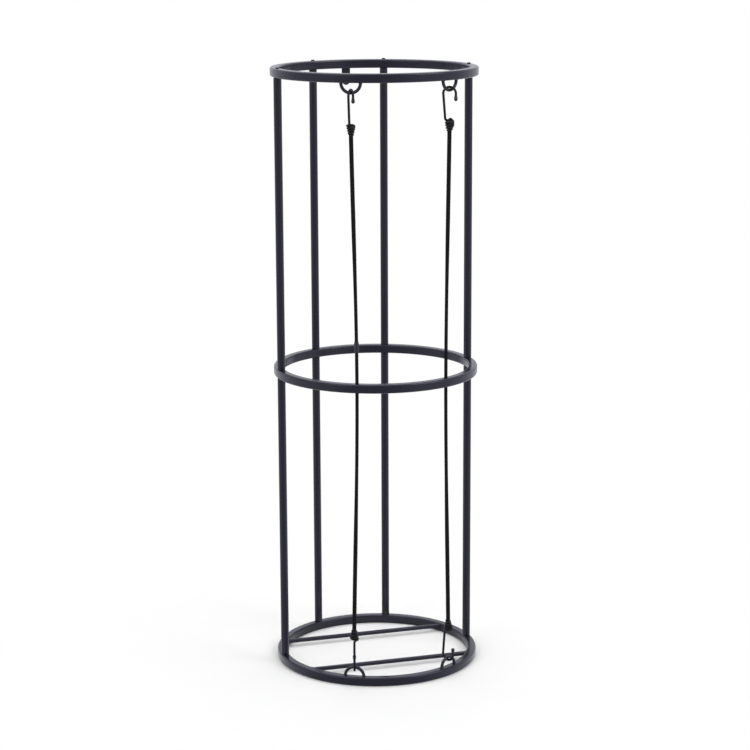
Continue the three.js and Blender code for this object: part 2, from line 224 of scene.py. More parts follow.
class RackColours(PropertyGroup):
    """Colours of the finishes."""

    coat: colour("Powder coat", "Coat of the frame", (0.0118, 0.0113, 0.0192))
    wire: colour("Hook wire", "Coat of the hooks", (0.0035, 0.0035, 0.0050))
    dip: colour("Dipped tip", "Vinyl on the hooks' tips", (0.0030, 0.0030, 0.0038))
    screw: colour("Screw", "Blackened steel of screws and studs", (0.020, 0.020, 0.026))
    brass: colour("Insert", "Brass of the threaded inserts", (0.434, 0.266, 0.069))
    cord: colour("Cord", "Yarn of the cords' braid", (0.0066, 0.0064, 0.0078))
    sleeve: colour("Sleeve", "Plastic of the sleeve", (0.009, 0.009, 0.011))
    floor: colour("Floor", "The stage's floor", (0.93, 0.93, 0.93))


class RackStage(PropertyGroup):
    """Camera and floor."""

    azimuth: turn("Azimuth", "Direction from which the camera looks, from the front", -16.9)
    distance: length("Distance", "From the rack's axis to the camera, along the floor", 3400)
    height: length("Height", "Camera above the floor", 1201.6)
    aim_height: length("Aim", "Height on the rack's axis that the camera looks at", 466.8)
    aim_left: length("Aim left", "How far the aim lies to the left of the axis", 0.96)
    roll: turn("Roll", "Turn of the camera round its line of sight", -0.258)
    focal: number("Focal length", "Lens, in millimetres", 104.27)
    floor_radius: length("Floor radius", "Radius of the floor", 60000)
    fade_start: length("Fade start", "Where the floor starts to turn to plain white", 200)
    fade_end: length("Fade end", "Where the floor is plain white", 620)


# Nodes


def set_inputs(node, inputs):
    """Sets a node's inputs, by name or place, to plain values, or links them to other nodes' outputs."""
    for key, value in inputs.items():
        if isinstance(value, bpy.types.NodeSocket):
            node.id_data.links.new(value, node.inputs[key])
        else:
            node.inputs[key].default_value = value


def add_node(tree, kind, inputs=None, **settings):
    """Adds a node with these inputs and returns its outputs."""
    node = tree.nodes.new(kind)
    for setting, value in settings.items():
        setattr(node, setting, value)
    set_inputs(node, inputs or {})
    return node.outputs


def calculate(tree, operation, *values):
    """A Math node, from sockets or plain numbers."""
    return add_node(tree, "ShaderNodeMath", dict(enumerate(values)), operation=operation)[0]


def object_place(tree):
    return add_node(tree, "ShaderNodeTexCoord")["Object"]


def noise_texture(tree, place, scale, detail, roughness=0.5):
    inputs = {"Vector": place, "Scale": scale, "Detail": detail, "Roughness": roughness}
    return add_node(tree, "ShaderNodeTexNoise", inputs)[0]


def smooth_range(tree, value, start, end, low=0.0, high=1.0):
    """From low to high, smoothly, as the value goes from start to end."""
    inputs = {"Value": value, "From Min": start, "From Max": end, "To Min": low, "To Max": high}
    return add_node(tree, "ShaderNodeMapRange", inputs, interpolation_type="SMOOTHSTEP")[0]


def mix_colours(tree, factor, first, second):
    inputs = {"Factor": factor, "A": (*first, 1), "B": (*second, 1)}
    return add_node(tree, "ShaderNodeMix", inputs, data_type="RGBA")["Result"]


def blend_shaders(tree, factor, first, second, output):
    blend = add_node(tree, "ShaderNodeMixShader", {"Fac": factor, 1: first, 2: second})
    set_inputs(tree.nodes[output], {"Surface": blend[0]})


def built_once(kind, name, make):
    """Turns a function that wires nodes into one that gives its material or node group, made at its
    first use. kind is the name of its list in bpy.data."""

    def decorate(wire):
        @functools.wraps(wire)
        def give():
            kept = getattr(bpy.data, kind)
            if name not in kept:
                make(wire)
            return kept[name]

        return give

    return decorate


def node_group(name, inputs, outputs):
    """For a function that returns what goes out of a shader node group, from what comes in. inputs
    holds the default of each input, and all sockets are plain numbers."""

    def make(wire):
        group = bpy.data.node_groups.new(name, "ShaderNodeTree")
        for title, default in inputs.items():
            socket = group.interface.new_socket(title, in_out="INPUT", socket_type="NodeSocketFloat")
            socket.default_value = default
        for title in outputs:
            group.interface.new_socket(title, in_out="OUTPUT", socket_type="NodeSocketFloat")
        results = wire(group, add_node(group, "NodeGroupInput"))
        add_node(group, "NodeGroupOutput", dict(zip(outputs, results)))

    return built_once("node_groups", name, make)


def surface(name):
    """For a function that wires a material's nodes round its Principled BSDF."""

    def make(wire):
        material = bpy.data.materials.new(name)
        material.use_nodes = True
        tree = material.node_tree
        wire(tree, tree.nodes["Principled BSDF"], bpy.context.scene.rack_colours)

    return built_once("materials", name, make)


# Node groups that several materials share


@node_group("Coat Grain", {"Peel Scale": 300.0, "Grain Scale": 1500.0}, ("Height", "Gloss Change", "Speckle"))
def coat_grain(group, given):
    """Orange peel, fine grain and slow changes of gloss, on Object coordinates."""
    slow_scale, fine_share, middle, speckle_start, speckle_slope = 11.0, 0.35, 0.5, 0.55, 2.5
    place = object_place(group)
    peel = noise_texture(group, place, given["Peel Scale"], detail=2.0)
    grain = noise_texture(group, place, given["Grain Scale"], detail=3.0, roughness=0.6)
    slow = noise_texture(group, place, slow_scale, detail=3.0)
    height = calculate(group, "ADD", peel, calculate(group, "MULTIPLY", grain, fine_share))
    bright = calculate(group, "SUBTRACT", grain, speckle_start)
    speckle = calculate(group, "MAXIMUM", calculate(group, "MULTIPLY", bright, speckle_slope), 0.0)
    return height, calculate(group, "SUBTRACT", slow, middle), speckle


@node_group("Settled Dust", {"Amount": 0.1}, ("Mask",))
def settled_dust(group, given):
    """A little dust on faces that look up, patchy, as a mask."""
    scale, contrast = 140.0, 2.0
    patches = noise_texture(group, object_place(group), scale, detail=6.0, roughness=0.7)
    normal = add_node(group, "ShaderNodeNewGeometry")["Normal"]
    upward = add_node(group, "ShaderNodeSeparateXYZ", {0: normal})["Z"]
    facing_up = calculate(group, "MAXIMUM", upward, 0.0)
    mask = calculate(group, "MULTIPLY", facing_up, calculate(group, "POWER", patches, contrast))
    return [calculate(group, "MULTIPLY", mask, given["Amount"])]


@node_group("Braid Weave", {"Strands": 8.0, "Strand Length": 2.2, "Yarns": 4.0}, ("Height", "Tone"))
def braid_weave(group, given):
    """The crossings of a braid on the piece's UV map: U in turns round it, V in millimetres along it. The
    second output is painted shade: darker in the dips between the strands, and a little lighter on alternate
    cells.
    """
    flatness, yarn_height, strand_contrast = 0.6, 0.22, 0.25
    wrap = add_node(group, "ShaderNodeUVMap", uv_map="wrap")[0]
    parts = add_node(group, "ShaderNodeSeparateXYZ", {0: wrap})
    around_it = calculate(group, "MULTIPLY", parts["X"], given["Strands"])
    along_it = calculate(group, "DIVIDE", parts["Y"], given["Strand Length"])
    phases = [calculate(group, sign, around_it, along_it) for sign in ("ADD", "SUBTRACT")]
    shares = [calculate(group, "FRACT", phase) for phase in phases]
    bumps = [calculate(group, "SINE", calculate(group, "MULTIPLY", share, math.pi)) for share in shares]
    crossing = calculate(group, "POWER", calculate(group, "MULTIPLY", *bumps), flatness)
    cells = [calculate(group, "FLOOR", phase) for phase in phases]
    parity = calculate(group, "FLOORED_MODULO", calculate(group, "ADD", *cells), 2.0)
    swap = {"Factor": parity}
    for side, share in zip(("A", "B"), shares):
        angle = calculate(group, "MULTIPLY", share, FULL_TURN)
        swap[side] = calculate(group, "SINE", calculate(group, "MULTIPLY", angle, given["Yarns"]))
    line = add_node(group, "ShaderNodeMix", swap, data_type="FLOAT")[0]
    yarn = calculate(group, "MULTIPLY", line, yarn_height)
    lift = calculate(group, "MULTIPLY", parity, strand_contrast)
    # The second output is painted shade, darker in the dips between strands, with alternate cells a little
    # lighter.
    return [calculate(group, "ADD", crossing, extra) for extra in (yarn, lift)]


# Materials


def paint(tree, shader, shade, mask, low, high):
    """Base colour from low to high times the shade, by the mask."""
    ends = [[min(1.0, channel * factor) for channel in shade] for factor in (low, high)]
    set_inputs(shader, {"Base Color": mix_colours(tree, mask, *ends)})


def add_bump(tree, shader, height, distance, strength):
    bump = add_node(tree, "ShaderNodeBump", {"Height": height, "Distance": distance, "Strength": strength})
    set_inputs(shader, {"Normal": bump[0]})


def add_grain(tree, shader, peel, grain, roughness, spread, bump, strength):
    """Gives a coat its grain, as changes of gloss and as a bump, and returns the group's outputs."""
    scales = {"Peel Scale": peel, "Grain Scale": grain}
    coat = add_node(tree, "ShaderNodeGroup", scales, node_tree=coat_grain())
    change = calculate(tree, "MULTIPLY", coat["Gloss Change"], spread)
    set_inputs(shader, {"Roughness": calculate(tree, "ADD", change, roughness)})
    add_bump(tree, shader, coat["Height"], bump * MM, strength)
    return coat


@surface("Powder Coat")
def powder_coat(tree, shader, colours):
    """Satin powder coat, charcoal with a violet cast, with orange peel and a little dust on top."""
    fleck_share = 0.3
    coat = add_grain(
        tree, shader, peel=420, grain=2200, roughness=0.22, spread=0.08, bump=0.04, strength=0.12
    )
    dust = add_node(tree, "ShaderNodeGroup", {"Amount": 0.35}, node_tree=settled_dust())
    flecks = calculate(tree, "MULTIPLY", coat["Speckle"], fleck_share)
    paint(tree, shader, colours.coat, calculate(tree, "ADD", flecks, dust["Mask"]), low=1.0, high=3.0)
    set_inputs(shader, {"Specular IOR Level": 0.38, "Specular Tint": (0.85, 0.85, 1.0, 1.0)})


@surface("Hook Coat")
def hook_coat(tree, shader, colours):
    """Smooth black coat on the hooks' wire."""
    coat = add_grain(tree, shader, peel=700, grain=2600, roughness=0.42, spread=0.14, bump=0.03, strength=0.5)
    paint(tree, shader, colours.wire, coat["Speckle"], low=1.0, high=2.2)
    set_inputs(shader, {"Specular IOR Level": 0.25})


@surface("Vinyl Dip")
def vinyl_dip(tree, shader, colours):
    """Soft vinyl on the hooks' tips, with a sag in its gloss."""
    coat = add_grain(tree, shader, peel=180, grain=900, roughness=0.27, spread=0.12, bump=0.08, strength=0.35)
    paint(tree, shader, colours.dip, coat["Height"], low=1.0, high=1.6)


@surface("Black Oxide")
def black_oxide(tree, shader, colours):
    """Blackened steel of the screws and studs, rubbed a little on its grain."""
    coat = add_grain(tree, shader, peel=900, grain=4200, roughness=0.36, spread=0.2, bump=0.02, strength=0.6)
    paint(tree, shader, colours.screw, coat["Speckle"], low=1.0, high=4.0)
    set_inputs(shader, {"Metallic": 0.7})


@surface("Moulded Plastic")
def moulded_plastic(tree, shader, colours):
    """Matte plastic of the crimped sleeve."""
    coat = add_grain(tree, shader, peel=600, grain=3200, roughness=0.46, spread=0.1, bump=0.04, strength=0.6)
    paint(tree, shader, colours.sleeve, coat["Height"], low=0.85, high=1.25)


@surface("Turned Brass")
def turned_brass(tree, shader, colours):
    """Brass of the threaded inserts, with turning marks round Z."""
    inputs = {"Vector": object_place(tree), "Scale": 900.0, "Distortion": 1.5, "Detail": 2.0}
    marks = add_node(tree, "ShaderNodeTexWave", inputs, bands_direction="Z")["Fac"]
    paint(tree, shader, colours.brass, marks, low=1.0, high=0.6)
    set_inputs(shader, {"Metallic": 1.0, "Roughness": 0.32})
    add_bump(tree, shader, marks, distance=0.02 * MM, strength=0.5)


@surface("Braided Yarn")
def braided_yarn(tree, shader, colours):
    """Braided sheath of the elastic cords, with painted shade in the dips of its braid."""
    sizes = bpy.context.scene.rack_cord
    inputs = {"Strands": sizes.strands, "Strand Length": sizes.strand_length / MM, "Yarns": 4.0}
    braid = add_node(tree, "ShaderNodeGroup", inputs, node_tree=braid_weave())
    # Painted shade: the yarn is darker in the braid's dips and lighter on its crowns.
    paint(tree, shader, colours.cord, braid["Tone"], low=0.6, high=1.4)
    set_inputs(shader, {"Roughness": 0.8, "Specular IOR Level": 0.1})
    set_inputs(shader, {"Sheen Weight": 0.015, "Sheen Roughness": 0.4})
    add_bump(tree, shader, braid["Height"], distance=0.12 * MM, strength=0.45)


def plain_white(tree, kind, direction):
    """A shader of the given kind for the plain white round the rack, and the camera's and the mirrored
    rays that meet it. The camera sees white all round. The coat sees it behind and beside the rack,
    with a darker studio in front."""
    behind_rack, cool, white = (0.34, 0.94, 0), (0.9, 0.9, 1.0), (1, 1, 1)
    rear = add_node(tree, "ShaderNodeVectorMath", {0: direction, 1: behind_rack}, operation="DOT_PRODUCT")
    level = smooth_range(tree, rear["Value"], start=-1.0, end=-0.6, low=0.53, high=0.97)
    path = add_node(tree, "ShaderNodeLightPath")
    camera = path["Is Camera Ray"]
    mirrored = calculate(tree, "MAXIMUM", path["Is Glossy Ray"], path["Is Transmission Ray"])
    shade = mix_colours(tree, camera, cool, white)
    light = add_node(tree, kind, {"Color": shade, "Strength": calculate(tree, "MAXIMUM", camera, level)})
    return light[0], camera, mirrored


@surface("Pale Floor")
def pale_floor(tree, shader, colours):
    """A pale floor that keeps the rack's shadow and turns to plain white further out."""
    stage = bpy.context.scene.rack_stage
    place, mottle_scale = object_place(tree), 3.0
    mottle = noise_texture(tree, place, mottle_scale, detail=4.0)
    paint(tree, shader, colours.floor, mottle, low=0.995, high=1.005)
    set_inputs(shader, {"Roughness": 0.85, "Specular IOR Level": 0.1})
    far = add_node(tree, "ShaderNodeVectorMath", {0: place}, operation="LENGTH")["Value"]
    direction = add_node(tree, "ShaderNodeVectorMath", {0: place}, operation="NORMALIZE")[0]
    fade = smooth_range(tree, far, stage.fade_start, stage.fade_end)
    beyond = calculate(tree, "GREATER_THAN", far, RING_DIAMETER / 2)
    light, camera, mirrored = plain_white(tree, "ShaderNodeEmission", direction)
    seen = calculate(tree, "MULTIPLY", camera, fade)
    reflected = calculate(tree, "MULTIPLY", mirrored, beyond)
    mask = calculate(tree, "MAXIMUM", seen, reflected)
    blend_shaders(tree, mask, shader.outputs[0], light, "Material Output")


# Mesh helpers


def close_up(bm, seam=SEAM):
    """Joins the seams, closes the open ends and turns every face outward."""
    bmesh.ops.remove_doubles(bm, verts=bm.verts[:], dist=seam)
    rims = [edge for edge in bm.edges if edge.is_boundary]
    bmesh.ops.holes_fill(bm, edges=rims, sides=0)
    bmesh.ops.recalc_face_normals(bm, faces=bm.faces[:])
    if bm.calc_volume(signed=True) < 0:
        bmesh.ops.reverse_faces(bm, faces=bm.faces[:])


def spin(bm, steps, axis=(0, 0, 1), angle=FULL_TURN):
    """Turns all of the outline round an axis through the origin."""
    whole = angle == FULL_TURN
    outline = bm.verts[:] + bm.edges[:]
    bmesh.ops.spin(bm, geom=outline, cent=(0, 0, 0), axis=axis, angle=angle, steps=steps, use_merge=whole)
    close_up(bm)


def turned(outline, steps, closed=False):
    """A shape turned round the Z axis from pairs of radius and height."""
    bm = bmesh.new()
    verts = [bm.verts.new((radius, 0, height)) for radius, height in outline]
    for pair in zip(verts, verts[1:] + verts[:1] if closed else verts[1:]):
        bm.edges.new(pair)
    spin(bm, steps)
    return bm


def arc(steps, end, start=0.0):
    """Cosine and sine at even steps of angle from start to end, both included."""
    angles = [start + (end - start) * i / steps for i in range(steps + 1)]
    return [(math.cos(angle), math.sin(angle)) for angle in angles]


def half_facet(segments):
    """Turns a cutter so that its corners don't lie on the edges of the piece that it cuts."""
    return Matrix.Rotation(math.pi / segments, 4, "Z")


def rod(diameter, depth, segments, matrix):
    """A plain closed cylinder."""
    bm = bmesh.new()
    radius = diameter / 2
    bmesh.ops.create_cone(
        bm, cap_ends=True, segments=segments, radius1=radius, radius2=radius, depth=depth, matrix=matrix
    )
    return bm


def drum(diameter, low, high, place=Vector(), segments=PLAIN_ROUND):
    """An upright cylinder between two heights, as a cutter."""
    middle = Matrix.Translation((place.x, place.y, (low + high) / 2))
    return rod(diameter, high - low, segments, middle @ half_facet(segments))


def add_object(name, data):
    holder = bpy.data.objects.new(name, data)
    bpy.context.scene.collection.objects.link(holder)
    return holder


def add_mesh(name, bm):
    """An object with the bmesh's shape. The bmesh is used up."""
    mesh = bpy.data.meshes.new(name)
    bm.to_mesh(mesh)
    bm.free()
    return add_object(name, mesh)


def add_modifier(piece, name, kind, **settings):
    modifier = piece.modifiers.new(name, kind)
    for setting, value in settings.items():
        setattr(modifier, setting, value)


def carved(bm, cutters, wall=0.0):
    """The shape, given a wall of its own if one is named, less the cutters."""
    body, *tools = [add_mesh("spare", shape) for shape in (bm, *cutters)]
    if wall:
        add_modifier(body, "wall", "SOLIDIFY", thickness=wall, offset=-1, use_even_offset=True)
    for tool in tools:
        add_modifier(body, "cut", "BOOLEAN", operation="DIFFERENCE", solver="EXACT", object=tool)
    result = bmesh.new()
    result.from_object(body, bpy.context.evaluated_depsgraph_get())
    for holder in [body, *tools]:
        mesh = holder.data
        bpy.data.objects.remove(holder)
        bpy.data.meshes.remove(mesh)
    return result


def tube(points, radii, sides, relief=None, closed=False):
    """A tube through the points, wrapped from a flat grid, with a UV map: U in turns round it, V in
    millimetres along it. relief gives the height of its surface at U and V."""
    points, radii = list(points), list(radii)
    if closed:
        points.append(points[0])
        radii.append(radii[0])
    last = len(points) - 1
    travelled = [0.0]
    for here, there in zip(points, points[1:]):
        travelled.append(travelled[-1] + (there - here).length / MM)
    behind = [points[-2 if closed else 0], *points[:-1]]
    ahead = [*points[1:], points[1 if closed else -1]]
    frames = []
    across = START_ACROSS.copy()
    for before, after in zip(behind, ahead):
        along = (after - before).normalized()
        across = (across - along * across.dot(along)).normalized()
        frames.append((across.copy(), along.cross(across)))
    if closed:
        frames[-1] = frames[0]
    bm = bmesh.new()
    wrap = bm.loops.layers.uv.new("wrap")
    bmesh.ops.create_grid(bm, x_segments=sides, y_segments=last, size=0.5, calc_uvs=False)
    for face in bm.faces:
        for loop in face.loops:
            u, v = loop.vert.co.x + 0.5, loop.vert.co.y + 0.5
            loop[wrap].uv = (u, travelled[round(v * last)])
    for vert in bm.verts:
        u, v = vert.co.x + 0.5, vert.co.y + 0.5
        i = round(v * last)
        first, second = frames[i]
        radius = radii[i] + (relief(u, travelled[i]) if relief else 0.0)
        angle = FULL_TURN * u
        vert.co = points[i] + first * (radius * math.cos(angle)) + second * (radius * math.sin(angle))
    close_up(bm, TUBE_SEAM)
    return bm


def add_piece(name, bm, material, slot, body="frame", nodes=(), crease=35):
    """Makes the piece, gives it its finish and rides it on its body."""
    piece = add_mesh(name, bm)
    piece.data.shade_smooth()
    piece.data.set_sharp_from_angle(angle=math.radians(crease))
    piece.data.materials.append(material)
    if nodes:
        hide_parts(*nodes)
    if body:
        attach(piece, body)
    return piece


def add_coated(name, bm, **more):
    """A piece of the powder-coated frame."""
    return add_piece(name, bm, powder_coat(), "frame_coat", **more)


def add_weld(name, points, radius, closed=False):
    """A weld bead along the points, with small ripples and thin ends."""
    sides, ripple, ripples_per_metre, end_share = 12, 0.13, 0.45 / MM, 0.35
    radii = [radius * (1 + ripple * noise.noise(point * ripples_per_metre)) for point in points]
    if not closed:
        radii[0] = radii[-1] = radius * end_share
    add_coated(name, tube(points, radii, sides, closed=closed), crease=60)


# Places round the rack


def around(radius, angle, height):
    return Vector((radius * math.sin(angle), -radius * math.cos(angle), height))


def post_axis(place):
    """The foot of a post's axis on the floor plane."""
    centre = box_centre(f"lower_post_{place}")
    return Vector((centre.x, centre.y, 0))


def hole_place(side):
    """Where a cord passes through the middle ring."""
    sizes = bpy.context.scene.rack_frame
    angle = math.copysign(sizes.cord_hole_angle, box_centre(f"elastic_cord_{side}").x)
    return around(RING_RADIUS, angle, RING_HEIGHTS["middle"])


def loop_station(place):
    """A frame on the ring's face at a loop: +X away from the rack, +Z from the ring along the cord."""
    level = place.split("_")[0]
    facing = -1 if level == "top" else 1
    centre = box_centre(f"cord_loop_{place}")
    angle = math.atan2(centre.x, -centre.y)
    outward = around(1, angle, 0)
    up = Vector((0, 0, facing))
    axes = Matrix((outward, up.cross(outward), up)).transposed().to_4x4()
    return Matrix.Translation(around(RING_RADIUS, angle, RING_HEIGHTS[level] + facing * RING_TUBE / 2)) @ axes


def for_hook(size, place):
    """A size that each hook has for itself."""
    return getattr(bpy.context.scene.rack_hook, size)[HOOK_PLACES.index(place)]


def hook_station(place):
    """A frame at the top of a hook's arch, turned as the hook is, +Z along the cord."""
    sizes = bpy.context.scene.rack_hook
    loop = bpy.context.scene.rack_frame
    rise = loop.loop_radius - loop.loop_wire / 2 - sizes.wire / 2 - sizes.gap
    turned_by = Matrix.Rotation(for_hook("swivel", place), 4, "Z")
    return loop_station(place) @ Matrix.Translation((0, 0, rise)) @ turned_by


def coil_heights(place):
    """Heights of the coil's first turn and of its end in the hook's frame."""
    sizes = bpy.context.scene.rack_hook
    start = sizes.coil_start + for_hook("reach", place)
    return start, start + sizes.coil_pitch * sizes.coil_turns


def smooth_step(value, start, end):
    share = min(max((value - start) / (end - start), 0.0), 1.0)
    return share * share * (3 - 2 * share)


# The frame


def square_ring(level):
    """The outside of a ring: a rounded square swept round the rack."""
    sizes = bpy.context.scene.rack_frame
    corner_steps = 7
    bm = bmesh.new()
    middle = Matrix.Translation((RING_RADIUS, 0, RING_HEIGHTS[level]))
    upright = middle @ Matrix.Rotation(QUARTER_TURN, 4, "X")
    bmesh.ops.create_grid(bm, x_segments=1, y_segments=1, size=RING_TUBE / 2, matrix=upright)
    bmesh.ops.bevel(
        bm, geom=bm.verts[:], offset=sizes.ring_corner, offset_type="OFFSET", segments=corner_steps,
        profile=0.5, affect="VERTICES", material=-1
    )
    bmesh.ops.delete(bm, geom=bm.faces[:], context="FACES_ONLY")
    spin(bm, sizes.ring_steps)
    return bm


def sink_for_head(place):
    """The countersink under the bottom ring, as a cutter."""
    screws = bpy.context.scene.rack_screws
    floor = RING_HEIGHTS["bottom"] - RING_TUBE / 2
    rim = screws.sunk_head / 2 + screws.sunk_play
    neck = screws.shank / 2 + screws.sunk_play
    low, high = floor - RING_TUBE, floor + screws.sunk_height
    bm = turned([(0, low), (rim, low), (rim, floor), (neck, high), (0, high)], PLAIN_ROUND)
    bm.transform(Matrix.Translation(post_axis(place)) @ half_facet(PLAIN_ROUND))
    return bm


class RACK_OT_rings(Operator):
    """Make the three rings of square tube, with their screw and cord holes"""

    bl_idname = "rack.rings"
    bl_label = "Rings"

    def execute(self, context):
        sizes = context.scene.rack_frame
        for level in LEVELS:
            ends = RING_HEIGHTS[level] - RING_TUBE, RING_HEIGHTS[level] + RING_TUBE
            cutters = [drum(sizes.screw_hole, *ends, post_axis(place)) for place in POST_PLACES]
            if level == "bottom":
                cutters += [sink_for_head(place) for place in POST_PLACES]
            if level == "middle":
                cutters += [drum(sizes.cord_hole, *ends, hole_place(side)) for side in CORD_SIDES]
            node = f"{level}_ring"
            shell = carved(square_ring(level), cutters, wall=sizes.ring_wall)
            ring = add_coated(f"{node}_tube", shell, nodes=[node])
            add_modifier(ring, "even normals", "WEIGHTED_NORMAL", keep_sharp=True)
        return {"FINISHED"}


class RACK_OT_posts(Operator):
    """Make the eight round posts between the rings"""

    bl_idname = "rack.posts"
    bl_label = "Posts"

    def execute(self, context):
        sizes = context.scene.rack_frame
        outer, bore, edge = sizes.post_diameter / 2, sizes.post_bore / 2, sizes.post_edge
        for storey in ("lower", "upper"):
            for place in POST_PLACES:
                node = f"{storey}_post_{place}"
                low, high = (corner.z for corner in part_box(node))
                outline = [(bore, low), (outer - edge, low), (outer, low + edge)]
                outline += [(outer, high - edge), (outer - edge, high), (bore, high)]
                bm = turned(outline, FINE_ROUND, closed=True)
                bm.transform(Matrix.Translation(post_axis(place)))
                add_coated(f"{node}_pipe", bm, nodes=[node])
        return {"FINISHED"}


class RACK_OT_rods(Operator):
    """Make the two rods under the lowest ball and their welds"""

    bl_idname = "rack.rods"
    bl_label = "Support Rods"

    def execute(self, context):
        sizes = context.scene.rack_frame
        radius = sizes.rod_diameter / 2
        inner_wall = RING_DIAMETER / 2 - RING_TUBE
        weld_steps = 40

        def half_span(y):
            return math.sqrt(inner_wall**2 - y**2)

        for place in ("front", "back"):
            node = f"support_rod_{place}"
            centre = box_centre(node)
            lying = Matrix.Translation(centre) @ Matrix.Rotation(QUARTER_TURN, 4, "Y")
            bm = rod(sizes.rod_diameter, inner_wall, FINE_ROUND, lying)
            for vert in bm.verts:
                vert.co.x = math.copysign(half_span(vert.co.y), vert.co.x)
            add_coated(f"{node}_bar", bm, nodes=[node])
            for side, sign in (("left", -1), ("right", 1)):
                path = []
                for cos, sin in arc(weld_steps, FULL_TURN)[:-1]:
                    y = centre.y + radius * cos
                    path.append(Vector((sign * half_span(y), y, centre.z + radius * sin)))
                add_weld(f"{node}_weld_{side}", path, sizes.rod_weld, closed=True)
        return {"FINISHED"}


class RACK_OT_wall_tab(Operator):
    """Make the wall tab under the back of the top ring and its welds"""

    bl_idname = "rack.wall_tab"
    bl_label = "Wall Tab"

    def execute(self, context):
        sizes = context.scene.rack_frame
        low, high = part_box("wall_tab")
        half = (high.x - low.x) / 2
        hole_height = low.z + half
        end_steps, edge_steps, weld_steps = 24, 3, 16
        bm = bmesh.new()
        lower_end = arc(end_steps, FULL_TURN, start=math.pi)
        corners = [(half, high.z), (-half, high.z)]
        corners += [(half * cos, hole_height + half * sin) for cos, sin in lower_end]
        face = bm.faces.new([bm.verts.new((x, low.y, z)) for x, z in corners])
        grown = bmesh.ops.extrude_face_region(bm, geom=[face])
        moved = [item for item in grown["geom"] if isinstance(item, bmesh.types.BMVert)]
        bmesh.ops.translate(bm, verts=moved, vec=(0, high.y - low.y, 0))
        close_up(bm)
        punch = drum(sizes.tab_hole, -half, half)
        punch.transform(Matrix.Translation((0, low.y, hole_height)) @ Matrix.Rotation(QUARTER_TURN, 4, "X"))
        plate = add_coated("wall_tab_plate", carved(bm, [punch]), nodes=["wall_tab"])
        soft = {"width": sizes.tab_edge, "segments": edge_steps, "limit_method": "ANGLE"}
        add_modifier(plate, "soft edges", "BEVEL", harden_normals=True, **soft)
        for label, y in (("front", low.y), ("rear", high.y)):
            path = [Vector((half * (2 * i / weld_steps - 1), y, high.z)) for i in range(weld_steps + 1)]
            add_weld(f"wall_tab_weld_{label}", path, sizes.tab_weld)
        return {"FINISHED"}


class RACK_OT_loops(Operator):
    """Make the four wire loops on the rings and their welds"""

    bl_idname = "rack.loops"
    bl_label = "Wire Loops"

    def execute(self, context):
        sizes = context.scene.rack_frame
        wire = sizes.loop_wire / 2
        wire_sides, loop_steps = 28, 72
        for place in HOOK_PLACES:
            node = f"cord_loop_{place}"
            station = loop_station(place)
            bm = bmesh.new()
            foot = Matrix.Translation((0, sizes.loop_radius, 0))
            bmesh.ops.create_circle(bm, segments=wire_sides, radius=wire, matrix=foot)
            spin(bm, loop_steps, axis=(1, 0, 0), angle=math.pi)
            bm.transform(station)
            add_coated(f"{node}_wire", bm, nodes=[node])
            for label, sign in (("a", -1), ("b", 1)):
                foot = Vector((0, sign * sizes.loop_radius, 0))
                rim = [Vector((cos, sin, 0)) * wire for cos, sin in arc(PLAIN_ROUND, FULL_TURN)[:-1]]
                path = [station @ (point + foot) for point in rim]
                add_weld(f"{node}_weld_{label}", path, sizes.loop_weld, closed=True)
        return {"FINISHED"}


# Screws


def thread(low, high):
    """Outline of a threaded stretch, from low to high."""
    screws = bpy.context.scene.rack_screws
    crest = screws.shank / 2
    root = crest - screws.thread_depth
    turns = int((high - low) / screws.thread_pitch)
    pitch = (high - low) / turns
    outline = [(root, low)]
    for i in range(turns):
        outline += [(crest, low + (i + 0.5) * pitch), (root, low + (i + 1) * pitch)]
    return outline


def add_screw(node, place, kind, outline, steps, socket=None):
    """A screw or stud on a post's axis. socket gives the heights between which its hexagon is cut."""
    bm = turned(outline, steps)
    if socket:
        across_corners = bpy.context.scene.rack_screws.socket / math.cos(math.pi / 6)
        hexagon = drum(across_corners, *socket, segments=6)
        hexagon.transform(half_facet(steps))
        bm = carved(bm, [hexagon])
    bm.transform(Matrix.Translation(post_axis(place)))
    add_piece(f"{node}_{kind}", bm, black_oxide(), "screw_black", nodes=[node], crease=32)


class RACK_OT_top_screws(Operator):
    """Make the dome-head screws through the top ring"""

    bl_idname = "rack.top_screws"
    bl_label = "Top Screws"

    def execute(self, context):
        screws = context.scene.rack_screws
        rim, shank, edge = screws.head / 2, screws.shank / 2, screws.head_edge
        seat = RING_HEIGHTS["top"] + RING_TUBE / 2
        top, neck, dome = seat + screws.head_height, seat - screws.plain_neck, seat + screws.rim_height
        dome_steps = 12
        quarter = arc(dome_steps, QUARTER_TURN)[:-1]
        for place in POST_PLACES:
            node = f"top_screw_{place}"
            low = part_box(node)[0].z
            outline = [(0, low)] + thread(low, neck) + [(shank, neck), (shank, seat)]
            outline += [(rim - edge, seat), (rim, seat + edge)]
            outline += [(rim * cos, dome + (top - dome) * sin) for cos, sin in quarter] + [(0, top)]
            socket = top - screws.socket_depth, top + screws.socket_depth
            add_screw(node, place, "bolt", outline, FINE_ROUND, socket)
        return {"FINISHED"}


class RACK_OT_bottom_screws(Operator):
    """Make the countersunk screws through the bottom ring"""

    bl_idname = "rack.bottom_screws"
    bl_label = "Bottom Screws"

    def execute(self, context):
        screws = context.scene.rack_screws
        rim, edge = screws.sunk_head / 2, screws.sunk_edge
        for place in POST_PLACES:
            node = f"bottom_screw_{place}"
            low, high = (corner.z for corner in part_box(node))
            neck = low + screws.sunk_height
            outline = [(0, low), (rim - edge, low), (rim, low + edge), (screws.shank / 2, neck)]
            outline += thread(neck + screws.thread_pitch, high) + [(0, high)]
            socket = low - screws.socket_depth, low + screws.socket_depth
            add_screw(node, place, "bolt", outline, FINE_ROUND, socket)
        return {"FINISHED"}


